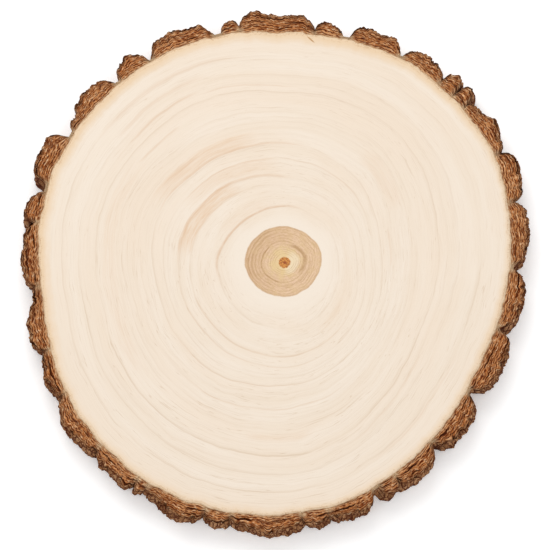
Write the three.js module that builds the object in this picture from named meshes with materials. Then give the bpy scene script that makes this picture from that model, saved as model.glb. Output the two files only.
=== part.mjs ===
// A round slice sawn straight across the trunk of a small pale-wooded tree, bark left on.
// Millimetres, +Z up. The slice lies flat, with the centre of its lower face's box at the origin.

import * as THREE from "three";

const THICKNESS = 16;

// The pale wood's radius about the pith, every 15 degrees counter-clockwise from +X.
// The tree grew unevenly, so the pith sits off the middle.
const WOOD_RADII = [
  99, 101.5, 104.5, 104.5, 106, 104.5, 104.5, 107, 109, 109.5, 110.5, 110.5,
  108.5, 109, 112.5, 114.5, 116, 115, 113, 110, 105, 100.5, 97, 97,
];

// The bark's plates, counter-clockwise: the degrees where each starts and ends, then how far it
// stands out of the wood in millimetres a fifth of the way along, half way and four fifths along.
const PLATES = [
  [-1, 15, 7.5, 8.5, 8],
  [15, 27.5, 8, 9, 9],
  [27.5, 41.5, 6, 9, 6.5],
  [41.5, 45.5, 8, 9.5, 9],
  [45.5, 50, 9, 10.5, 9],
  [50, 61, 7, 8, 7],
  [61.5, 74.5, 8, 7.5, 9],
  [76, 83, 5, 7, 7],
  [83, 101, 8.5, 8.5, 10.5],
  [101, 105.5, 6.5, 6.5, 4.5],
  [107, 122.5, 7.5, 8.5, 8],
  [123.5, 132, 7.5, 8.5, 6.5],
  [133, 148, 8.5, 9.5, 5],
  [149.5, 161.5, 10, 10, 8.5],
  [163.5, 171, 6, 8, 8],
  [171, 186, 6.5, 8, 7.5],
  [186, 201, 4.5, 8, 8],
  [201, 211.5, 5, 6.5, 5],
  [211.5, 225.5, 7, 7.5, 6.5],
  [225.5, 236.5, 6.5, 6, 7],
  [236.5, 239, 6, 6, 4.5],
  [239, 252.5, 5, 7, 7.5],
  [252.5, 258, 5, 6, 5],
  [258, 273.5, 6, 7.5, 7],
  [273.5, 279.5, 5.5, 6.5, 5.5],
  [279.5, 290.5, 5.5, 6.5, 7],
  [292, 296.5, 5.5, 7, 6.5],
  [296.5, 308, 7.5, 8, 8],
  [308.5, 323.5, 7.5, 8.5, 8.5],
  [324.5, 342, 8.5, 9.5, 9],
  [342.5, 358, 7, 8.5, 8],
];

const CREASE_FLOOR = 3.2; // bark left over the wood where two plates touch
const GAP_FLOOR = 1.2; // and where they stand apart
const SHOULDER = 6; // a higher power gives a plate squarer ends
const ALONG_PLATE = [0, 0.03, 0.09, 0.2, 0.35, 0.5, 0.65, 0.8, 0.91, 0.97, 1];

// The furrows run down the trunk, so they wander a little between the slice's two faces.
const LEVELS = [0, 0.3, 0.7, 1]; // shares of the thickness, from the lower face up
const WANDER_DEGREES = 1.1;
const WANDER_WAVES = 7;
const BULGE = 0.07; // the uncut bark between the two saw cuts stands out by this share more

const { degToRad, euclideanModulo, lerp } = THREE.MathUtils;

// A Catmull-Rom curve through the radii, which closes on itself.
function woodRadius(degrees) {
  const step = 360 / WOOD_RADII.length;
  const place = euclideanModulo(degrees, 360) / step;
  const first = Math.floor(place);
  const t = place - first;
  const [before, from, to, after] = [-1, 0, 1, 2].map(
    (offset) => WOOD_RADII[euclideanModulo(first + offset, WOOD_RADII.length)],
  );
  const leave = (to - before) / 2;
  const arrive = (after - from) / 2;
  return (
    from +
    t * leave +
    t * t * (3 * (to - from) - 2 * leave - arrive) +
    t * t * t * (2 * (from - to) + leave + arrive)
  );
}

// Whether one plate ends just where another starts.
function touches(plate, next) {
  return euclideanModulo(plate[1], 360) === euclideanModulo(next[0], 360);
}

// How far a plate stands out of the wood at a share of its length: its three heights joined by
// straight lines, and rounded down to the furrow's floor at both ends.
function plateRise([, , near, middle, far], share, floor) {
  const height =
    share < 0.5
      ? lerp(near, middle, Math.max(share - 0.2, 0) / 0.3)
      : lerp(middle, far, Math.min(share - 0.5, 0.3) / 0.3);
  const shoulder = 1 - Math.abs(2 * share - 1) ** SHOULDER;
  return lerp(floor, height, shoulder);
}

// The points around the slice, the same for each level: an angle and the bark's rise there.
function stations() {
  return PLATES.flatMap((plate, index) => {
    const next = PLATES[(index + 1) % PLATES.length];
    const closedBefore = touches(PLATES.at(index - 1), plate);
    const closedAfter = touches(plate, next);
    const shares = closedAfter ? ALONG_PLATE.slice(0, -1) : ALONG_PLATE;
    return shares.map((share) => {
      const closed = share < 0.5 ? closedBefore : closedAfter;
      return {
        degrees: lerp(plate[0], plate[1], share),
        rise: plateRise(plate, share, closed ? CREASE_FLOOR : GAP_FLOOR),
      };
    });
  });
}

// One closed ring of points around the slice, at a share of the thickness.
function ring(points, level) {
  const depth = 1 - level;
  const bulge = 1 + BULGE * Math.sin(Math.PI * level);
  return points.map(({ degrees, rise }) => {
    const wander = WANDER_DEGREES * Math.sin(WANDER_WAVES * degToRad(degrees));
    const angle = degrees + depth * wander;
    const radius = woodRadius(angle) + rise * bulge;
    return new THREE.Vector3(
      radius * Math.cos(degToRad(angle)),
      radius * Math.sin(degToRad(angle)),
      level * THICKNESS,
    );
  });
}

// A closed solid over rings of equal length, capped by fans from the pith at both ends.
function loft(rings) {
  const count = rings[0].length;
  const last = rings.length - 1;
  const lowerPith = rings.length * count;
  const upperPith = lowerPith + 1;
  const points = [
    ...rings.flat(),
    new THREE.Vector3(0, 0, 0),
    new THREE.Vector3(0, 0, THICKNESS),
  ];
  const faces = [];
  for (let i = 0; i < count; i++) {
    const next = (i + 1) % count;
    for (let level = 0; level < last; level++) {
      const low = level * count;
      const high = low + count;
      faces.push(low + i, low + next, high + next);
      faces.push(low + i, high + next, high + i);
    }
    faces.push(lowerPith, next, i);
    faces.push(upperPith, last * count + i, last * count + next);
  }
  return new THREE.BufferGeometry().setFromPoints(points).setIndex(faces);
}

// Moves a geometry so that its box stands centred on the origin.
function standOnOrigin(geometry) {
  geometry.computeBoundingBox();
  const centre = geometry.boundingBox.getCenter(new THREE.Vector3());
  return geometry.translate(-centre.x, -centre.y, -geometry.boundingBox.min.z);
}

function woodSlice() {
  const points = stations();
  const geometry = standOnOrigin(loft(LEVELS.map((level) => ring(points, level))));
  geometry.computeVertexNormals();
  const material = new THREE.MeshStandardMaterial({
    color: "#ecdcc4",
    roughness: 0.7,
    metalness: 0,
    flatShading: true,
  });
  const mesh = new THREE.Mesh(geometry, material);
  mesh.name = "wood_slice";
  return mesh;
}

const part = new THREE.Group();
part.add(woodSlice());

export default part;
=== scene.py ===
"""The looks of a round slice of pale wood with its bark on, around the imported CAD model.

Two pieces stand for the one CAD solid: the pale wood, and the ring of bark around it.
Shapes are worked out in millimetres around the pith and go into the meshes in metres.
"""

import math

import bpy
import numpy as np
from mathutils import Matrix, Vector, noise


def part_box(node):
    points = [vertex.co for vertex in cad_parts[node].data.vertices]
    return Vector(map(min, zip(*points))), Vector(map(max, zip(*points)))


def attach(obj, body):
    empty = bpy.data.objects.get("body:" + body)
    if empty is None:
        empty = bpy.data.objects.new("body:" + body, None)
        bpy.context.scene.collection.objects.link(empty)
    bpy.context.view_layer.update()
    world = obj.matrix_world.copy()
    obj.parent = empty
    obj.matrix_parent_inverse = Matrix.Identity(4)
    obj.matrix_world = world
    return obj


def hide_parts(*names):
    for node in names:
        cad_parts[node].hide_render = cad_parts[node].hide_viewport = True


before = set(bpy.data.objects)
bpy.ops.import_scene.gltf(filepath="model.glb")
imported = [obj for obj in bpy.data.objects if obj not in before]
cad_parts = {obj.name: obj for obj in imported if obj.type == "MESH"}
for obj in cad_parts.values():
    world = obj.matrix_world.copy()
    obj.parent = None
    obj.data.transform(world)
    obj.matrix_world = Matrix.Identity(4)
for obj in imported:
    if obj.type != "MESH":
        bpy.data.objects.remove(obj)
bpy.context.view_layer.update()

MM = 0.001
LOW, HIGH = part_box("wood_slice")
THICKNESS = (HIGH.z - LOW.z) / MM

# The CAD solid's faces fan out from the pith, so the vertex nearest the middle marks it.
PITH = min(
    (vertex.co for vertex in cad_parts["wood_slice"].data.vertices),
    key=lambda place: place.xy.length,
).xy / MM

# ---------------------------------------------------------------- the outline, as in the CAD

# The wood's radius about the pith, every 15 degrees counter-clockwise from +X.
WOOD_RADII = np.array([
    99, 101.5, 104.5, 104.5, 106, 104.5, 104.5, 107, 109, 109.5, 110.5, 110.5,
    108.5, 109, 112.5, 114.5, 116, 115, 113, 110, 105, 100.5, 97, 97,
])
MEAN_RADIUS = WOOD_RADII.mean()

# The radii of five rings of earlier years, every 15 degrees, each named by its usual radius.
OLD_OUTLINES = {
    17: [16.5, 17, 17, 16.5, 16.5, 16.5, 17, 17, 17.5, 17.5, 18, 18,
         18, 17.5, 17, 16.5, 16, 15.5, 15.5, 15.5, 15, 15.5, 15.5, 16],
    26: [24, 24, 24.5, 25, 25, 25.5, 25.5, 25.5, 25.5, 26, 27, 28.5,
         30, 30, 30.5, 30.5, 31, 30.5, 30.5, 30, 29, 27.5, 26, 25],
    42: [35, 35, 36, 37, 37.5, 38, 38.5, 40.5, 42.5, 44, 45.5, 46.5,
         47, 47.5, 47.5, 47.5, 48, 47.5, 47.5, 46, 44, 41.5, 39, 36.5],
    54: [42.5, 43, 45.5, 48.5, 50.5, 52, 53.5, 54, 55.5, 56.5, 59, 60,
         58.5, 57.5, 58, 58.5, 58.5, 57, 55.5, 53.5, 51, 48, 45.5, 44],
    84: [71.5, 73, 76.5, 80, 81, 81.5, 81, 84, 86.5, 87, 88, 88.5,
         87.5, 87, 89.5, 91, 92.5, 92.5, 92, 87.5, 80.5, 74.5, 70.5, 70],
}

# Bark plates: start and end in degrees, then the height over the wood at 20, 50 and 80 %.
PLATES = np.array([
    [-1, 15, 7.5, 8.5, 8],
    [15, 27.5, 8, 9, 9],
    [27.5, 41.5, 6, 9, 6.5],
    [41.5, 45.5, 8, 9.5, 9],
    [45.5, 50, 9, 10.5, 9],
    [50, 61, 7, 8, 7],
    [61.5, 74.5, 8, 7.5, 9],
    [76, 83, 5, 7, 7],
    [83, 101, 8.5, 8.5, 10.5],
    [101, 105.5, 6.5, 6.5, 4.5],
    [107, 122.5, 7.5, 8.5, 8],
    [123.5, 132, 7.5, 8.5, 6.5],
    [133, 148, 8.5, 9.5, 5],
    [149.5, 161.5, 10, 10, 8.5],
    [163.5, 171, 6, 8, 8],
    [171, 186, 6.5, 8, 7.5],
    [186, 201, 4.5, 8, 8],
    [201, 211.5, 5, 6.5, 5],
    [211.5, 225.5, 7, 7.5, 6.5],
    [225.5, 236.5, 6.5, 6, 7],
    [236.5, 239, 6, 6, 4.5],
    [239, 252.5, 5, 7, 7.5],
    [252.5, 258, 5, 6, 5],
    [258, 273.5, 6, 7.5, 7],
    [273.5, 279.5, 5.5, 6.5, 5.5],
    [279.5, 290.5, 5.5, 6.5, 7],
    [292, 296.5, 5.5, 7, 6.5],
    [296.5, 308, 7.5, 8, 8],
    [308.5, 323.5, 7.5, 8.5, 8.5],
    [324.5, 342, 8.5, 9.5, 9],
    [342.5, 358, 7, 8.5, 8],
])
CREASE_FLOOR = 3.2
GAP_FLOOR = 1.2
SHOULDER = 6
WANDER_DEGREES = 1.1
WANDER_WAVES = 7
BULGE = 0.07


def closed_curve(radii, degrees):
    """The radius at each angle of a closed Catmull-Rom curve through evenly spaced radii."""
    count = len(radii)
    place = np.mod(degrees, 360) / (360 / count)
    first = np.floor(place).astype(int)
    t = place - first
    before, start, end, after = (radii[(first + i) % count] for i in (-1, 0, 1, 2))
    leave = (end - before) / 2
    arrive = (after - start) / 2
    square = 3 * (end - start) - 2 * leave - arrive
    cube = 2 * (start - end) + leave + arrive
    return start + t * leave + t**2 * square + t**3 * cube


def wood_radius(degrees):
    return closed_curve(WOOD_RADII, degrees)


def plate_rise(number, share):
    """How far a plate stands out of the wood at a share of its length."""
    start, end, *heights = PLATES[number]
    before = PLATES[number - 1]
    after = PLATES[(number + 1) % len(PLATES)]
    touches = start == before[1] if share < 0.5 else after[0] == end
    floor = CREASE_FLOOR if touches else GAP_FLOOR
    height = np.interp(share, (0.2, 0.5, 0.8), heights)
    shoulder = 1 - abs(2 * share - 1) ** SHOULDER
    return floor + (height - floor) * shoulder


# ---------------------------------------------------------------- mesh helpers


def noise_at(points, scale, offset=0.0):
    """Smooth noise from -1 to 1 at (x, y, z) rows in mm; scale is the size of its features."""
    steps = np.asarray(points) / scale + offset
    return np.array([noise.noise(Vector(step)) for step in steps])


def rim_waves(degrees):
    """The small waves in mm of the line where the wood meets the bark."""
    turn = np.radians(degrees)
    rim = MEAN_RADIUS * np.column_stack((np.cos(turn), np.sin(turn), np.zeros_like(turn)))
    return 0.9 * noise_at(rim, 9.0) + 0.5 * noise_at(rim, 2.6, 4.2)


def cells_at(points, scale):
    """For stretched cells: how near each point is to a cell's edge, and a tone per cell."""
    edges = np.empty(len(points))
    tones = np.empty(len(points))
    for i, step in enumerate(np.asarray(points) / scale):
        distances, centres = noise.voronoi(Vector(step))
        edges[i] = distances[1] - distances[0]
        tones[i] = noise.cell(centres[0] * 7.3)
    return edges, tones


def smoothstep(low, high, value):
    t = np.clip((value - low) / (high - low), 0, 1)
    return t * t * (3 - 2 * t)


def make_piece(name, points, faces, uvs, attributes, material):
    """A mesh piece from points in mm around the pith, with its bake map and its attributes."""
    mesh = bpy.data.meshes.new(name)
    placed = (points + np.array([PITH.x, PITH.y, 0])) * MM
    mesh.from_pydata(placed.tolist(), [], faces)
    mesh.uv_layers.new(name="OFBake").data.foreach_set("uv", np.ravel(uvs))
    for key, values in attributes.items():
        values = np.asarray(values, dtype=np.float32)
        kind = "FLOAT" if values.ndim == 1 else "FLOAT_VECTOR"
        field = "value" if values.ndim == 1 else "vector"
        mesh.attributes.new(key, kind, "POINT").data.foreach_set(field, values.ravel())
    mesh.shade_smooth()
    mesh.materials.append(material)
    piece = bpy.data.objects.new(name, mesh)
    bpy.context.scene.collection.objects.link(piece)
    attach(piece, "root")
    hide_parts("wood_slice")
    return piece


# ---------------------------------------------------------------- material helpers


class Graph:
    """Short names for the shader nodes used here. Each call returns an output socket."""

    def __init__(self, name):
        self.material = bpy.data.materials.new(name)
        self.material.use_nodes = True
        self.tree = self.material.node_tree
        self.shader = self.tree.nodes["Principled BSDF"]

    def node(self, kind, inputs=(), **settings):
        made = self.tree.nodes.new(kind)
        for key, value in settings.items():
            setattr(made, key, value)
        for key, value in dict(inputs).items():
            if isinstance(value, bpy.types.NodeSocket):
                self.tree.links.new(value, made.inputs[key])
            else:
                made.inputs[key].default_value = value
        return made

    def attribute(self, name, output="Fac"):
        return self.node("ShaderNodeAttribute", attribute_name=name).outputs[output]

    def math(self, operation, first, second=0.0, third=0.0):
        values = {0: first, 1: second, 2: third}
        return self.node("ShaderNodeMath", values, operation=operation).outputs[0]

    def stretch(self, vector, scale, offset=(0, 0, 0)):
        """The vector times scale plus offset, to stretch a texture."""
        inputs = {0: vector, 1: scale, 2: offset}
        return self.node("ShaderNodeVectorMath", inputs, operation="MULTIPLY_ADD").outputs[0]

    def noise(self, vector, scale=1.0, detail=3.0, roughness=0.5):
        inputs = {"Vector": vector, "Scale": scale, "Detail": detail, "Roughness": roughness}
        return self.node("ShaderNodeTexNoise", inputs).outputs["Fac"]

    def span(self, value, low, high, to_low=0.0, to_high=1.0):
        """The value's way from low to high, eased, as to_low to to_high."""
        inputs = {
            "Value": value,
            "From Min": low,
            "From Max": high,
            "To Min": to_low,
            "To Max": to_high,
        }
        made = self.node("ShaderNodeMapRange", inputs, interpolation_type="SMOOTHSTEP")
        return made.outputs["Result"]

    def ramp(self, value, stops):
        """A colour ramp; each stop is a place from 0 to 1 and a grey or an (r, g, b)."""
        made = self.node("ShaderNodeValToRGB", {"Fac": value})
        ramp = made.color_ramp
        while len(ramp.elements) < len(stops):
            ramp.elements.new(0.5)
        for element, (place, colour) in zip(ramp.elements, stops):
            element.position = place
            rgb = (colour,) * 3 if isinstance(colour, (int, float)) else colour
            element.color = (*rgb, 1)
        return made.outputs["Color"]

    def mix(self, amount, first, second):
        colours = [(*c, 1) if isinstance(c, tuple) else c for c in (first, second)]
        made = self.node("ShaderNodeMix", data_type="RGBA")
        for socket, value in ((0, amount), (6, colours[0]), (7, colours[1])):
            if isinstance(value, bpy.types.NodeSocket):
                self.tree.links.new(value, made.inputs[socket])
            else:
                made.inputs[socket].default_value = value
        return made.outputs[2]

    def bump(self, height, strength, distance, under=None):
        inputs = {"Height": height, "Strength": strength, "Distance": distance}
        if under is not None:
            inputs["Normal"] = under
        return self.node("ShaderNodeBump", inputs).outputs["Normal"]

    def finish(self, colour, roughness, normal):
        self.tree.links.new(colour, self.shader.inputs["Base Color"])
        self.tree.links.new(roughness, self.shader.inputs["Roughness"])
        self.tree.links.new(normal, self.shader.inputs["Normal"])
        return self.material


# ---------------------------------------------------------------- the wood

CREAM = (0.815, 0.70, 0.575)
WARM_CREAM = (0.815, 0.68, 0.545)
PALE_CREAM = (0.84, 0.74, 0.63)
RING_LINE = (0.62, 0.47, 0.33)
STAIN = (0.74, 0.53, 0.36)
ARC_BROWN = (0.60, 0.34, 0.17)
SPOT_TAN = (0.71, 0.50, 0.295)
SPOT_PINK = (0.77, 0.545, 0.365)
SPOT_DARK = (0.52, 0.31, 0.165)
SPOT_LINE = (0.38, 0.205, 0.070)
SPOT_YELLOW = (0.76, 0.57, 0.29)
SPOT_PALE = (0.82, 0.68, 0.48)
PITH_ORANGE = (0.66, 0.27, 0.062)
PITH_BROWN = (0.36, 0.125, 0.030)
PITH_RED = (0.26, 0.035, 0.008)
RIM_YELLOW = (0.76, 0.54, 0.32)
RIM_FIBRE = (0.50, 0.28, 0.125)

# Rings whose darker line ends a year's growth, each with its strength, and how far they reach.
YEAR_REACH = 106.0
YEAR_LINES = [
    (20.9, 0.3), (22.8, 0.2), (25.8, 0.5), (30.5, 0.3), (34.2, 0.2), (37.3, 0.5),
    (42.0, 0.6), (46.8, 0.25), (48.9, 0.4), (54.0, 0.8), (57.3, 0.2), (59.5, 0.4),
    (62.8, 0.45), (65.6, 0.3), (67.6, 0.3), (70.0, 0.3), (80.0, 0.8), (84.0, 0.3),
    (88.0, 0.7), (96.2, 0.65),
]
SPOT_REACH = 17.0
SPOT_LINES = [
    (4.2, 0.5), (5.1, 0.4), (6.1, 0.5), (7.1, 0.4), (8.6, 0.4), (9.9, 0.7), (11.2, 0.5),
    (12.5, 0.7), (13.9, 0.6), (15.2, 0.5),
]
# Marks that follow the rings: inner and outer ring, the softness of those two edges,
# the bearing of the middle, how far it spreads to each side in degrees, and its strength.
STAINS = [
    (37.0, 42.6, 0.8, 0.4, 148, 30, 0.80),
    (54.6, 60.8, 0.5, 0.8, 128, 28, 0.62),
    (44.0, 49.0, 1.2, 0.4, 122, 30, 0.35),
    (26.8, 31.0, 0.4, 1.5, 128, 30, 0.22),
    (71.5, 77.0, 1.5, 1.5, 182, 45, 0.28),
    (60.0, 66.5, 1.0, 1.5, 41, 16, 0.25),
    (72.0, 74.5, 1.0, 1.0, 268, 12, 0.30),
    (29.0, 32.0, 0.8, 0.8, 312, 18, 0.22),
]
BROWN_MARKS = [
    (25.7, 26.6, 0.25, 0.6, 134, 66, 0.52),
    (41.6, 42.8, 0.6, 0.3, 134, 55, 0.30),
    (36.9, 37.4, 0.2, 0.7, 140, 24, 0.24),
    (54.3, 55.1, 0.2, 0.6, 119, 44, 0.34),
    (58.8, 60.0, 0.4, 0.4, 138, 11, 0.18),
    (48.5, 48.9, 0.2, 0.2, 121, 28, 0.28),
    (48.6, 49.0, 0.2, 0.2, 62, 32, 0.16),
    (74.1, 75.1, 0.6, 0.4, 136, 10, 0.26),
    (83.7, 84.6, 0.5, 0.4, 129, 14, 0.28),
    (82.7, 83.2, 0.3, 0.3, 101, 16, 0.20),
    (89.3, 90.8, 0.7, 0.6, 127, 17, 0.20),
    (95.3, 97.2, 0.9, 0.8, 124, 24, 0.18),
    (36.9, 37.4, 0.3, 0.4, 258, 75, 0.20),
    (41.8, 42.3, 0.3, 0.3, 240, 65, 0.18),
    (53.8, 54.2, 0.2, 0.3, 248, 40, 0.18),
    (62.5, 62.9, 0.2, 0.3, 262, 38, 0.20),
    (84.1, 84.8, 0.5, 0.5, 308, 20, 0.16),
    (96.7, 97.3, 0.5, 0.4, 312, 22, 0.16),
    (57.8, 58.7, 0.5, 0.4, 8, 12, 0.16),
]
SPOT_MARKS = [
    (8.0, 9.5, 0.35, 0.3, 20, 66, 0.62),
    (9.5, 10.1, 0.25, 0.25, 195, 95, 0.60),
    (11.4, 11.8, 0.2, 0.2, 305, 70, 0.45),
    (13.2, 13.7, 0.2, 0.25, 168, 66, 0.42),
    (14.7, 15.3, 0.2, 0.25, 160, 60, 0.42),
]
SPOT_RADIUS = 16.6
HALO_RADIUS = 25.5  # the ring out to which the wood around the heartwood is paler
# A small torn nick in the wood's edge, only painted, in a dark fibre colour that also stands
# for the shade inside it: its middle from the rings' centre, half its length and width,
# all in mm, and the way that it runs in degrees.
NICK = (11.7, 102.0, 2.1, 0.32, -42)
PITH_SIZE = 2.6
HEART = (-0.5, -0.8)  # mm from the point that the outline goes by to the rings' centre


def ring_lines(graph, ring, lines, reach, before, after):
    """1 on each line and 0 away from it; a line is before mm wide inwards and after outwards."""
    share = graph.math("DIVIDE", ring, reach)
    total = 0.0
    for some in (lines[::2], lines[1::2]):
        stops = []
        for radius, strength in some:
            stops += [
                ((radius - before) / reach, 0.0),
                (radius / reach, strength),
                ((radius + after) / reach, 0.0),
            ]
        total = graph.math("ADD", graph.ramp(share, stops), total)
    return total


def near_bearing(graph, heading, degrees, spread, core=0.45):
    """1 in the direction degrees from the pith, easing to 0 at spread degrees to either side.

    The core is the share of the spread over which it stays 1.
    """
    angle = math.radians(degrees)
    inputs = {0: heading, 1: (math.cos(angle), math.sin(angle), 0)}
    along = graph.node("ShaderNodeVectorMath", inputs, operation="DOT_PRODUCT")
    edge = math.cos(math.radians(spread))
    full = math.cos(math.radians(spread * core))
    return graph.span(along.outputs["Value"], edge, full)


def arc_mask(graph, ring, heading, stain):
    """1 inside a stain, from its radii, its softness, its bearing and its spread."""
    inner, outer, soft_inner, soft_outer, bearing, spread = stain[:6]
    inside = graph.span(ring, inner - soft_inner, inner + soft_inner)
    outside = graph.span(ring, outer - soft_outer, outer + soft_outer, 1.0, 0.0)
    band = graph.math("MULTIPLY", inside, outside)
    return graph.math("MULTIPLY", band, near_bearing(graph, heading, bearing, spread))


def ring_marks(g, colour, mark_colour, marks, ring, heading, broken):
    """The colour with a list of marks over it; broken lets them through from 0 to 1."""
    for mark in marks:
        mask = g.math("MULTIPLY", arc_mask(g, ring, heading, mark), broken)
        colour = g.mix(g.math("MULTIPLY", mask, mark[-1]), colour, mark_colour)
    return colour


def spot_colour(g, flat, ring, heading, fine):
    """The tan heartwood's colour and its share over the sapwood, with the pith at its middle."""
    nicks = g.math("MULTIPLY", g.math("SUBTRACT", g.noise(flat, 0.28, 4.0, 0.6), 0.5), 0.9)
    reach = g.math("ADD", ring, nicks)
    warp = g.math("MULTIPLY", g.math("SUBTRACT", g.noise(flat, 0.10, 3.0), 0.5), 3.0)
    bent = g.math("ADD", ring, g.math("MULTIPLY", warp, g.span(ring, 2.0, 8.0)))

    blotch = g.noise(flat, 0.30, 4.0, 0.6)
    colour = g.mix(g.span(blotch, 0.35, 0.65), SPOT_TAN, SPOT_PINK)
    colour = g.mix(g.span(fine, 0.42, 0.68, 0.0, 0.5), colour, SPOT_DARK)
    shady = g.math("MULTIPLY", near_bearing(g, heading, 165, 110), g.span(ring, 7, 11))
    colour = g.mix(g.math("MULTIPLY", shady, 0.26), colour, SPOT_DARK)
    yellow = g.math("ADD", bent, g.math("MULTIPLY", g.math("SUBTRACT", blotch, 0.5), 12.0))
    colour = g.mix(g.span(yellow, 3.5, 8.5, 0.75, 0.0), colour, SPOT_YELLOW)
    glow = g.math("MULTIPLY", near_bearing(g, heading, -10, 95), g.span(bent, 5.4, 7.2, 1.0, 0.0))
    colour = g.mix(g.math("MULTIPLY", glow, 0.75), colour, SPOT_PALE)
    lines = ring_lines(g, bent, SPOT_LINES, SPOT_REACH, 0.45, 0.14)
    lines = g.math("MULTIPLY", lines, g.span(g.noise(flat, 0.16, 2.0), 0.36, 0.56, 0.2, 1.0))
    colour = g.mix(g.math("MULTIPLY", lines, 0.75), colour, SPOT_LINE)
    broken = g.span(blotch, 0.38, 0.55, 0.35, 1.0)
    colour = ring_marks(g, colour, SPOT_LINE, SPOT_MARKS, bent, heading, broken)
    rim = g.math("MULTIPLY", g.span(reach, SPOT_RADIUS - 1.3, SPOT_RADIUS - 0.2), broken)
    colour = g.mix(g.math("MULTIPLY", rim, 0.35), colour, SPOT_LINE)
    specks = g.span(g.noise(flat, 1.8, 2.0), 0.58, 0.72, 0.0, 0.35)
    colour = g.mix(specks, colour, SPOT_LINE)

    jagged = g.math("MULTIPLY", g.math("SUBTRACT", g.noise(flat, 0.8, 3.0), 0.5), 1.8)
    middle = g.math("ADD", ring, jagged)
    pith = g.mix(g.span(g.noise(flat, 1.5, 3.0), 0.42, 0.58), PITH_ORANGE, PITH_BROWN)
    colour = g.mix(g.span(middle, PITH_SIZE - 0.3, PITH_SIZE + 0.2, 1.0, 0.0), colour, pith)
    colour = g.mix(g.span(middle, 0.3, 0.8, 0.8, 0.0), colour, PITH_RED)
    share = g.span(reach, SPOT_RADIUS - 0.3, SPOT_RADIUS + 0.3, 1.0, 0.0)
    return colour, share


def nick_shade_mask(g, flat, ragged):
    """1 inside the nick of torn fibre and painted shade; ragged is a texture that frays its edges.
    """
    x, y, half_length, half_width, degrees = NICK
    from_nick = g.stretch(flat, (1, 1, 0), (-x, -y, 0))
    cos, sin = math.cos(math.radians(degrees)), math.sin(math.radians(degrees))
    sizes = []
    for direction, size in (((cos, sin, 0), half_length), ((-sin, cos, 0), half_width)):
        inputs = {0: from_nick, 1: tuple(way / size for way in direction)}
        place = g.node("ShaderNodeVectorMath", inputs, operation="DOT_PRODUCT").outputs["Value"]
        sizes.append(g.math("MULTIPLY", place, place))
    reach = g.math("ADD", sizes[0], sizes[1])
    return g.span(g.math("MULTIPLY_ADD", ragged, 1.5, reach), 1.2, 2.2, 1.0, 0.0)


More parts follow.
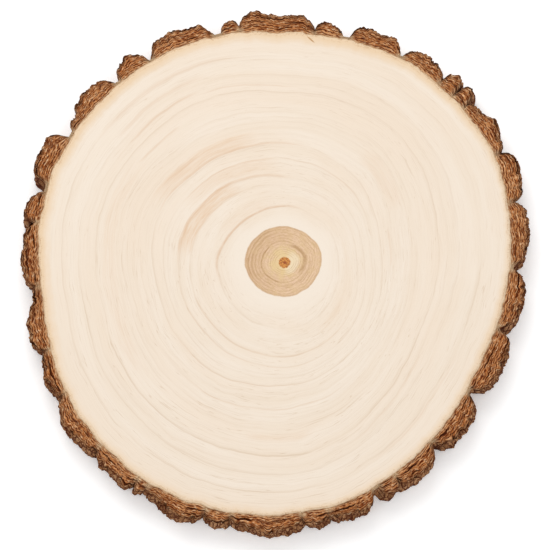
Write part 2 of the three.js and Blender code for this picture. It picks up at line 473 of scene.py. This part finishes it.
def wood_material():
    g = Graph("pale_wood")
    g.shader.inputs["Specular IOR Level"].default_value = 0.3
    place = g.node("ShaderNodeTexCoord").outputs["Object"]
    from_pith = g.stretch(place, (1 / MM,) * 3, (-PITH.x - HEART[0], -PITH.y - HEART[1], 0))
    flat = g.stretch(from_pith, (1, 1, 0))
    heading = g.node("ShaderNodeVectorMath", {0: flat}, operation="NORMALIZE").outputs[0]
    inset = g.attribute("inset")
    even_ring = g.attribute("ring")

    # The rings waver a little, more in the outer years.
    waver = g.math("MULTIPLY", g.math("SUBTRACT", g.noise(flat, 0.06, 3.0), 0.5), 2.6)
    ring = g.math("MULTIPLY_ADD", waver, g.span(even_ring, 15, 60), even_ring)

    # Texture space that follows the rings: fine across them, long around them.
    across = g.node("ShaderNodeCombineXYZ", {"Z": ring}).outputs[0]
    along_rings = g.node("ShaderNodeVectorMath", {0: heading, 1: across}).outputs[0]
    fine = g.noise(g.stretch(along_rings, (5, 5, 1.7)), 1.0, 4.0, 0.6)
    hairs = g.noise(g.stretch(along_rings, (9, 9, 3.5)), 1.0, 3.0, 0.6)
    broad = g.noise(g.stretch(along_rings, (1.0, 1.0, 0.18)), 1.0, 3.0, 0.55)
    patchy = g.noise(g.stretch(along_rings, (0.8, 0.8, 0.07), (7, 3, 1)), 1.0, 2.0)

    colour = g.mix(g.span(broad, 0.35, 0.65, 0.1, 0.9), PALE_CREAM, CREAM)
    colour = g.mix(g.span(patchy, 0.4, 0.7, 0.1, 0.6), colour, WARM_CREAM)
    seen = g.span(g.noise(g.stretch(along_rings, (2.5, 2.5, 0.2))), 0.35, 0.6, 0.25, 1.0)
    clearer = g.math("MULTIPLY_ADD", near_bearing(g, heading, 270, 125), 0.5, 1.0)
    seen = g.math("MULTIPLY", seen, clearer)
    late_wood = g.math("MULTIPLY", ring_lines(g, ring, YEAR_LINES, YEAR_REACH, 1.6, 0.2), seen)
    colour = g.mix(g.math("MULTIPLY", late_wood, 0.23), colour, RING_LINE)
    year_end = g.math("MULTIPLY", ring_lines(g, ring, YEAR_LINES, YEAR_REACH, 0.35, 0.15), seen)
    colour = g.mix(g.math("MULTIPLY", year_end, 0.45), colour, RING_LINE)
    colour = g.mix(g.span(fine, 0.5, 0.75, 0.0, 0.14), colour, RING_LINE)
    colour = g.mix(g.span(hairs, 0.55, 0.72, 0.0, 0.14), colour, RING_LINE)

    # Hairlines: the contours of a texture drawn out along the rings.
    drawn_out = g.noise(g.stretch(along_rings, (0.9, 0.9, 0.50)), 1.0, 2.0)
    contour = g.math("PINGPONG", g.math("MULTIPLY", drawn_out, 9.0), 0.5)
    faint = g.span(g.noise(g.stretch(along_rings, (1.5, 1.5, 0.1))), 0.35, 0.6, 0.2, 1.0)
    faint = g.math("MULTIPLY", faint, clearer)
    hairline = g.math("MULTIPLY", g.span(contour, 0.0, 0.07, 1.0, 0.0), faint)
    colour = g.mix(g.math("MULTIPLY", hairline, 0.38), colour, RING_LINE)

    streaks = g.span(fine, 0.3, 0.62, 0.35, 1.0)
    streaks = g.math("MULTIPLY", streaks, g.span(hairs, 0.3, 0.6, 0.6, 1.0))
    colour = ring_marks(g, colour, STAIN, STAINS, ring, heading, streaks)
    halo = g.span(ring, SPOT_RADIUS + 2.0, HALO_RADIUS, 0.9, 0.0)
    colour = g.mix(halo, colour, PALE_CREAM)
    worn = g.span(streaks, 0.3, 0.8, 0.5, 1.0)
    colour = ring_marks(g, colour, ARC_BROWN, BROWN_MARKS, ring, heading, worn)
    spot, in_spot = spot_colour(g, flat, even_ring, heading, hairs)
    colour = g.mix(in_spot, colour, spot)

    # Yellow sapwood against the bark, ending in torn fibres.
    ragged = g.math("MULTIPLY", g.math("SUBTRACT", g.noise(flat, 0.5, 4.0, 0.7), 0.5), 2.2)
    edge = g.math("ADD", inset, ragged)
    deeper = g.math("MULTIPLY_ADD", near_bearing(g, heading, 120, 110), 1.6, 1.0)
    band = g.math("MULTIPLY_ADD", g.math("SUBTRACT", broad, 0.5), -3.0, edge)
    band = g.math("SUBTRACT", band, deeper)
    colour = g.mix(g.span(band, -1.5, 3.8, 0.72, 0.0), colour, RIM_YELLOW)
    specks = g.span(g.noise(flat, 1.4, 2.0), 0.55, 0.68)
    speckled = g.math("MULTIPLY", specks, g.span(edge, 0.5, 2.4, 0.6, 0.0))
    colour = g.mix(speckled, colour, RIM_FIBRE)
    strands = g.noise(g.stretch(along_rings, (16, 16, 2.2)), 1.0, 3.0, 0.6)
    near_bark = g.span(edge, 0.4, 2.2, 0.50, 0.0)
    strands = g.math("MULTIPLY", g.span(strands, 0.50, 0.62), near_bark)
    colour = g.mix(strands, colour, RIM_FIBRE)
    # Painted shade: the nick is dark fibre colour only, with no notch in the mesh.
    colour = g.mix(nick_shade_mask(g, flat, hairs), colour, RIM_FIBRE)
    colour = g.mix(g.span(edge, -0.1, 0.5, 0.60, 0.0), colour, RIM_FIBRE)

    pores = g.noise(flat, 2.6, 4.0, 0.7)
    grain = g.bump(fine, 0.10, 0.0004)
    normal = g.bump(pores, 0.10, 0.0003, grain)
    roughness = g.span(pores, 0.3, 0.7, 0.55, 0.75)
    return g.finish(colour, roughness, normal)


def wood_place(ring, degrees, waves):
    """The radius in mm of a growth ring at each angle, between the outlines that are known."""
    known = [0, *OLD_OUTLINES, MEAN_RADIUS]
    rows = [np.zeros(len(WOOD_RADII)), *OLD_OUTLINES.values(), WOOD_RADII]
    outer = int(np.searchsorted(known, ring))
    way = (ring - known[outer - 1]) / (known[outer] - known[outer - 1])
    radii = (1 - way) * np.array(rows[outer - 1]) + way * np.array(rows[outer])
    return closed_curve(radii, degrees) + waves * (ring / MEAN_RADIUS) ** 14


# Where the two sawn faces lie in the bake map: a disc's centre and its radius.
UPPER_DISC = ((0.385, 0.385), 0.375)
LOWER_DISC = ((0.80, 0.80), 0.19)


def disc_uv(offsets, centre, radius):
    """Bake-map places of points around the pith, on a disc in the map."""
    reach = WOOD_RADII.max() + 2
    return offsets[:, :2] / reach * radius + centre


def wood_piece():
    columns = 720
    degrees = np.arange(columns) * 360 / columns
    waves = rim_waves(degrees)
    face_rings = MEAN_RADIUS * np.linspace(0, 1, 57)[1:] ** 0.8
    # (ring, height): the top face outwards, down the edge, the underside inwards.
    edge_drop = 0.25
    profile = [(ring, THICKNESS) for ring in face_rings]
    profile += [(MEAN_RADIUS, z) for z in (THICKNESS - edge_drop, THICKNESS / 2, edge_drop)]
    profile += [(ring, 0.0) for ring in face_rings[::-2]]
    points, rings = [], []
    for ring, height in profile:
        radius = wood_place(ring, degrees, waves)
        angle = np.radians(degrees)
        middle = np.array(HEART) * (1 - ring / MEAN_RADIUS)
        points.append(np.column_stack((
            middle[0] + radius * np.cos(angle),
            middle[1] + radius * np.sin(angle),
            np.full(columns, height),
        )))
        rings.append(np.full(columns, ring))
    points = np.vstack(points)
    rings = np.concatenate(rings)
    rows = len(profile)
    top, bottom = len(points), len(points) + 1
    points = np.vstack((points, [[*HEART, THICKNESS], [*HEART, 0]]))
    rings = np.concatenate((rings, [0, 0]))

    faces = []
    for row in range(rows - 1):
        here, below = row * columns, (row + 1) * columns
        faces += [
            (here + i, below + i, below + (i + 1) % columns, here + (i + 1) % columns)
            for i in range(columns)
        ]
    faces += [(top, i, (i + 1) % columns) for i in range(columns)]
    last = (rows - 1) * columns
    faces += [(bottom, last + (i + 1) % columns, last + i) for i in range(columns)]

    upper_rows = len(face_rings) + 2
    upper = disc_uv(points, *UPPER_DISC)
    lower = disc_uv(points * np.array([1, -1, 1]), *LOWER_DISC)
    uvs = []
    for face in faces:
        on_top = all(v < upper_rows * columns or v == top for v in face)
        uvs.append((upper if on_top else lower)[list(face)])
    reach = np.hypot(points[:, 0], points[:, 1])
    rim = np.append(np.tile(wood_radius(degrees) + waves, rows), [MEAN_RADIUS] * 2)
    attributes = {"ring": rings, "inset": rim - reach}
    return make_piece(
        "wood", points, faces, np.vstack(uvs), attributes, wood_material()
    )


# ---------------------------------------------------------------- the bark

# Dark red: dark tissue and painted shade in cracks. Black: painted shade in the deeper gaps.
CRACK_SHADE_BLACK = (0.022, 0.009, 0.004)
SHADE_AND_CRACK_RED = (0.105, 0.016, 0.003)
BARK_RUST = (0.38, 0.105, 0.022)
BARK_BROWN = (0.56, 0.235, 0.084)
BARK_TAN = (0.80, 0.48, 0.25)
# Painted highlight for the cut face's grain.
BARK_HIGHLIGHT = (0.86, 0.60, 0.37)
# Weathered outer bark; at the plates' ends these colours are painted shade in the creases.
WEATHER_AND_SHADE_DARK = (0.070, 0.022, 0.007)
WEATHER_AND_SHADE_MID = (0.27, 0.118, 0.047)
WEATHER_AND_SHADE_LIGHT = (0.56, 0.32, 0.17)
BAST_DARK = (0.36, 0.18, 0.07)
BAST_PALE = (0.84, 0.64, 0.41)

# Millimetres along the rim, across the layers and up the trunk.
CRACK = (4.2, 0.60, 12.0)  # the size of the cut face's short cracks
SCALE = (1.7, 3.0, 6.5)  # one scale of the outer side
LAYER = 1.1  # mm from one dark seam between the cut face's thin layers to the next
SPLIT = 2.7  # mm from one long split between the bark's layers to the next
RIDGE = np.array([2.6, 1.0, 13.0])
SHRED = np.array([1.2, 1.0, 6.0])
SPLIT_DEPTH = 0.9
TUCK = 0.5  # how far the bark's inner edge reaches into the wood
PLATE_SPACING = 37.0  # between two plates' places in the textures, so that no two match
DEGREES_PER_COLUMN = 0.22
TOP_ROWS, WALL_ROWS, UNDER_ROWS = 32, 18, 8


def bark_columns():
    """The angle, plate number and share along the plate of each column around the rim."""
    columns = []
    for number, (start, end, *_) in enumerate(PLATES):
        count = max(4, round((end - start) / DEGREES_PER_COLUMN))
        shares = np.linspace(0, 1, count, endpoint=False)
        columns += [(start + (end - start) * share, number, share) for share in shares]
        following = PLATES[(number + 1) % len(PLATES)][0] % 360
        if abs(following - end % 360) > 0.1:
            columns.append((end, number, 1.0))
    return (np.array(values) for values in zip(*columns))


def bark_cells(g, grain, size):
    """Stretched cells of a size in mm: how far a place is from a cell's edge, and a cell's tone."""
    place = g.stretch(grain, tuple(1 / side for side in size))
    inputs = {"Vector": place, "Scale": 1.0}
    gap = g.node("ShaderNodeTexVoronoi", inputs, feature="DISTANCE_TO_EDGE")
    cell = g.node("ShaderNodeTexVoronoi", inputs, feature="F1")
    tone = g.node("ShaderNodeSeparateColor", {"Color": cell.outputs["Color"]}).outputs["Red"]
    return gap.outputs["Distance"], tone


def bark_material():
    g = Graph("plated_bark")
    g.shader.inputs["Specular IOR Level"].default_value = 0.03
    grain = g.attribute("grain", "Vector")
    split = g.attribute("split")
    side = g.attribute("side")
    weather_and_end_shade = g.attribute("weather_and_end_shade")
    bast = g.attribute("bast")

    fibres = g.noise(g.stretch(grain, (0.40, 2.6, 0.25)), 1.0, 4.0, 0.65)
    grit = g.noise(grain, 1.9, 4.0, 0.65)
    fibres = g.mix(side, fibres, grit)
    scale_gap, tone = bark_cells(g, grain, SCALE)
    tone = g.math("MULTIPLY", g.math("SUBTRACT", tone, 0.5), side)

    # Short cracks between the layers of the cut face; on the outer side, cracks around scales.
    # Their dark colour is partly the bark's dark tissue and partly painted shade in the gaps.
    dashes = g.noise(g.stretch(grain, tuple(1 / length for length in CRACK)), 1.0, 3.0, 0.6)
    frayed = g.math("MULTIPLY_ADD", g.math("SUBTRACT", fibres, 0.5), 0.30, scale_gap)
    sway = g.noise(g.stretch(grain, (0.25, 0.5, 0.05)), 1.0, 2.0)
    across = g.node("ShaderNodeSeparateXYZ", {"Vector": grain}).outputs["Y"]
    layer = g.math("MULTIPLY_ADD", sway, 1.6, g.math("DIVIDE", across, LAYER))
    seam = g.math("PINGPONG", layer, 0.5)
    seam = g.math("MULTIPLY_ADD", g.math("SUBTRACT", fibres, 0.5), 0.25, seam)
    gape = g.span(g.noise(g.stretch(grain, (0.5, 0.8, 0.05)), 1.0, 2.0), 0.40, 0.54)
    open_seam = g.math("MULTIPLY", g.span(seam, 0.15, 0.26, 1.0, 0.0), gape)
    cut_crack = g.math("MAXIMUM", open_seam, g.span(dashes, 0.38, 0.47, 0.8, 0.0))
    crack = g.mix(side, cut_crack, g.span(frayed, 0.03, 0.18, 1.0, 0.0))
    torn = g.math("MULTIPLY_ADD", g.math("SUBTRACT", fibres, 0.5), 0.8, split)
    torn = g.span(torn, 0.35, 0.75)
    dark = g.math("MAXIMUM", crack, torn)

    patches = g.noise(g.stretch(grain, (0.10, 0.3, 0.07)), 1.0, 3.0)
    shade = g.math("MULTIPLY_ADD", tone, 0.20, fibres)
    shade = g.math("MULTIPLY_ADD", g.math("SUBTRACT", patches, 0.5), 0.3, shade)
    colour = g.ramp(shade, [
        (0.22, SHADE_AND_CRACK_RED),
        (0.38, BARK_RUST),
        (0.52, BARK_BROWN),
        (0.76, BARK_TAN),
    ])
    # Weathered outer bark, which is also the painted shade at the plates' ends.
    weathered_and_shade_colour = g.ramp(shade, [
        (0.26, WEATHER_AND_SHADE_DARK),
        (0.48, WEATHER_AND_SHADE_MID),
        (0.76, WEATHER_AND_SHADE_LIGHT),
    ])
    colour = g.mix(weather_and_end_shade, colour, weathered_and_shade_colour)
    cut = g.math("SUBTRACT", 1.0, side)
    # Painted highlights and painted shadow on the cut face's grain, from one noise.
    grain_light_and_shade = g.noise(g.stretch(grain, (0.55, 1.1, 0.25)), 1.0, 3.0, 0.6)
    light = g.math("MULTIPLY", g.span(grain_light_and_shade, 0.54, 0.66, 0.0, 0.7), cut)
    colour = g.mix(light, colour, BARK_HIGHLIGHT)
    shadow = g.math("MULTIPLY", g.span(grain_light_and_shade, 0.34, 0.46, 0.8, 0.0), cut)
    colour = g.mix(shadow, colour, SHADE_AND_CRACK_RED)
    inner = g.mix(g.span(fibres, 0.4, 0.6), BAST_DARK, BAST_PALE)
    colour = g.mix(bast, colour, inner)
    # Cracks and splits: dark tissue plus painted shade, blacker in splits, outer bark and plate
    # ends.
    black = g.math("MAXIMUM", g.math("MULTIPLY", torn, 0.4), g.math("MULTIPLY", weather_and_end_shade, 0.4))
    deep = g.mix(black, SHADE_AND_CRACK_RED, CRACK_SHADE_BLACK)
    dark = g.math("MULTIPLY", dark, g.math("MULTIPLY_ADD", bast, -0.8, 1.0))
    colour = g.mix(g.math("MULTIPLY", dark, 0.97), colour, deep)

    rounded = g.mix(side, g.span(seam, 0.05, 0.40), g.span(scale_gap, 0.0, 0.35))
    raised = g.math("MULTIPLY_ADD", fibres, 0.5, rounded)
    normal = g.bump(raised, 0.7, 0.0006)
    roughness = g.span(fibres, 0.3, 0.7, 0.95, 0.85)
    return g.finish(colour, roughness, normal)


def outer_side(place):
    """The relief in mm of the outer side at (along, shift, z) rows."""
    sway = noise_at(place, np.array([9.0, 1.0, 11.0]), 6.3)
    broad = noise_at(place, np.array([5.0, 1.0, 16.0]), 3.1)
    rough = noise_at(place, np.array([1.5, 1.0, 3.2]), 8.7)
    grit = noise_at(place, np.array([0.8, 1.0, 1.1]), 2.9)
    bent = place + np.column_stack((1.3 * sway, 0 * sway, 3 * broad))
    edge, tone = cells_at(bent, RIDGE)
    furrow = smoothstep(0.30, 0.0, edge)
    return 0.4 * broad + 0.5 * (tone - 0.5) + 0.45 * rough + 0.3 * grit - 0.5 * furrow


def bent_layers(place):
    """Where (along, outwards, z) rows lie across the bark's wavy layers, in mm."""
    bend = noise_at(place, np.array([11.0, 4.0, 24.0]), 5.5)
    wisp = noise_at(place, np.array([3.5, 1.3, 9.0]), 9.4)
    return place[:, 1] + 0.6 * bend + 0.08 * wisp


def long_splits(place, across):
    """From 0 to 1, how far the bark has split between two of its layers."""
    from_split = 0.5 - np.abs(np.mod(across / SPLIT, 1) - 0.5)
    opening = 0.26 * noise_at(place, np.array([9.0, 2.0, 20.0]), 7.9)
    return smoothstep(0.08, -0.06, from_split - np.maximum(opening, -0.2))


def bark_piece():
    degrees, number, share = bark_columns()
    columns = len(degrees)
    smooth_rise = np.array([plate_rise(n, s) for n, s in zip(number, share)])
    middle = PLATES[number, :2].mean(axis=1)
    tallest = PLATES[number, 2:].max(axis=1)
    along = np.radians(degrees - middle) * (wood_radius(degrees) + 4) + number * PLATE_SPACING
    length = np.radians(PLATES[number, 1] - PLATES[number, 0]) * wood_radius(degrees)
    near_end = smoothstep(2.8, 0.5, np.minimum(share, 1 - share) * length)
    firmness = smoothstep(1.0, 4.5, smooth_rise)
    open_gap = smoothstep(CREASE_FLOOR - 0.2, GAP_FLOOR + 0.3, smooth_rise)
    waves = rim_waves(degrees)

    # Each row goes all round: (share of the way out, height).
    rows = [(out, THICKNESS) for out in np.linspace(0, 1, TOP_ROWS)]
    rows += [(1.0, z) for z in np.linspace(THICKNESS, 0, WALL_ROWS)[1:-1]]
    rows += [(out, 0.0) for out in np.linspace(1, 0, UNDER_ROWS)]

    sheets = []
    traits = {key: [] for key in ("grain", "split", "side", "weather_and_end_shade", "bast")}
    for out, height in rows:
        on_side = 0 < height < THICKNESS
        depth = 1 - height / THICKNESS
        wander = WANDER_DEGREES * np.sin(WANDER_WAVES * np.radians(degrees))
        turn = np.radians(degrees + depth * wander)
        bulge = 1 + BULGE * math.sin(math.pi * depth)
        level = np.full(columns, height)
        relief = outer_side(np.column_stack((along, number * 5.0, level)))
        reach = out * (smooth_rise * bulge + firmness * relief)
        to_outside = (1 - out) * smooth_rise
        layers = np.column_stack((along, out * (0.45 * smooth_rise + 0.55 * tallest), level))
        across = bent_layers(layers)
        split = np.zeros(columns)

        z = level.copy()
        radius = wood_radius(degrees + depth * wander) + waves + reach
        if not on_side:
            split = long_splits(layers, across) * firmness * smoothstep(0.0, 0.1, out)
            rounded = 0.6 * smoothstep(1.5, 0.0, to_outside)
            chips = noise_at(layers, np.array([3.5, 2.5, 20.0]), 4.4)
            broken = 1.2 * smoothstep(0.05, 0.4, chips) * smoothstep(3.4, 0.6, to_outside)
            hummocks = 0.25 + 0.25 * noise_at(layers, np.array([5.0, 1.1, 20.0]), 8.1)
            sink = SPLIT_DEPTH * split
            sink += (rounded + broken + hummocks) * firmness * smoothstep(0.0, 0.1, out)
            z = level - sink if height > 0 else level + 0.7 * sink
        if out == 0:  # the inner edge is tucked into the wood, so that no gap shows
            radius -= TUCK
            z += TUCK / 2 if height == 0 else -TUCK / 2
        sheets.append(np.column_stack((radius * np.cos(turn), radius * np.sin(turn), z)))

        from_wood = out * smooth_rise
        weather_and_end_shade = np.ones(columns) if on_side else smoothstep(2.2, 0.0, to_outside)
        # Near the plates' ends, away from the wood, the same dark colours paint the creases' shade.
        weather_and_end_shade = np.maximum(weather_and_end_shade, near_end * smoothstep(1.8, 3.8, from_wood))
        bast = np.maximum(open_gap * 0.9, near_end * smoothstep(3.2, 1.2, from_wood) * 0.8)
        bast = np.maximum(bast, smoothstep(1.4, 0.2, from_wood) * 0.45)
        if on_side:  # torn shreds of it, left in the open gaps
            shreds = noise_at(np.column_stack((along, 0 * along, level)), SHRED, 1.7)
            bast = 0.6 * open_gap * smoothstep(-0.1, 0.4, shreds)
        traits["grain"].append(np.column_stack((along, across, level)))
        traits["split"].append(split)
        traits["side"].append(np.full(columns, float(on_side)))
        traits["weather_and_end_shade"].append(weather_and_end_shade * (1 - 0.8 * open_gap))
        traits["bast"].append(bast)

    points = np.vstack(sheets)
    index = np.arange(len(points)).reshape(len(rows), columns)
    right = np.roll(index, -1, axis=1)
    below, below_right = np.roll(index, -1, axis=0), np.roll(right, -1, axis=0)
    faces = np.stack((index, below, below_right, right), axis=-1).reshape(-1, 4)
    uvs = strip_uv(len(rows), columns)
    attributes = {key: np.concatenate(values) for key, values in traits.items()}
    return make_piece(
        "bark", points, faces.tolist(), uvs, attributes, bark_material()
    )


def strip_uv(rows, columns, strips=5, margin=0.004):
    """The bake map of a ring of quads: unrolled, and cut into strips that lie above each other."""
    per_strip = math.ceil(columns / strips)
    column = np.arange(columns)
    left = margin + (column % per_strip) / per_strip * (1 - 2 * margin)
    right = left + (1 - 2 * margin) / per_strip
    down = margin + np.linspace(0, 1, rows + 1) * (1 / strips - 2 * margin)
    start = (column // per_strip) / strips
    low = start[None, :] + down[:-1, None]
    high = start[None, :] + down[1:, None]
    left, right = (np.broadcast_to(side, low.shape) for side in (left, right))
    return np.stack((left, low, left, high, right, high, right, low), axis=-1)


# ---------------------------------------------------------------- floor, light and camera


def plain_floor():
    mesh = bpy.data.meshes.new("floor")
    reach = 20.0
    corners = [(-reach, -reach, 0), (reach, -reach, 0), (reach, reach, 0), (-reach, reach, 0)]
    mesh.from_pydata(corners, [], [(0, 1, 2, 3)])
    material = bpy.data.materials.new("floor_white")
    material.use_nodes = True
    shader = material.node_tree.nodes["Principled BSDF"]
    shader.inputs["Base Color"].default_value = (1.0, 1.0, 1.0, 1)
    shader.inputs["Roughness"].default_value = 0.9
    shader.inputs["Emission Color"].default_value = (1.0, 1.0, 1.0, 1)
    shader.inputs["Emission Strength"].default_value = 0.20
    mesh.materials.append(material)
    floor = bpy.data.objects.new("floor", mesh)
    bpy.context.scene.collection.objects.link(floor)


def point_at(thing, target):
    thing.rotation_mode = "QUATERNION"
    thing.rotation_quaternion = (target - thing.location).to_track_quat("-Z", "Y")


def soft_light(name, direction, distance, size, power):
    light = bpy.data.lights.new(name, "AREA")
    light.shape = "DISK"
    light.size = size
    light.energy = power
    thing = bpy.data.objects.new(name, light)
    thing.location = Vector(direction).normalized() * distance
    point_at(thing, Vector((0, 0, 0)))
    bpy.context.scene.collection.objects.link(thing)


def studio():
    scene = bpy.context.scene
    scene.view_settings.view_transform = "Standard"
    world = bpy.data.worlds.new("studio")
    world.use_nodes = True
    backdrop = world.node_tree.nodes["Background"]
    backdrop.inputs["Color"].default_value = (1.0, 1.0, 1.0, 1)
    backdrop.inputs["Strength"].default_value = 0.88
    scene.world = world
    soft_light("key", (-0.25, 0.7, 1.0), 1.6, 1.2, 8.0)


def camera_above():
    elevation = math.radians(77)
    lens = 300.0
    sensor = 36.0
    frame_width = 242.8 * MM
    camera = bpy.data.cameras.new("camera")
    camera.lens = lens
    camera.sensor_width = sensor
    camera.clip_end = 100.0
    thing = bpy.data.objects.new("camera", camera)
    target = Vector((-0.4 * MM, -1.5 * MM, THICKNESS * MM / 2))
    back = Vector((0, -math.cos(elevation), math.sin(elevation)))
    thing.location = target + back * (frame_width * lens / sensor)
    point_at(thing, target)
    bpy.context.scene.collection.objects.link(thing)
    bpy.context.scene.camera = thing


camera_above()
wood_piece()
bark_piece()
plain_floor()
studio()
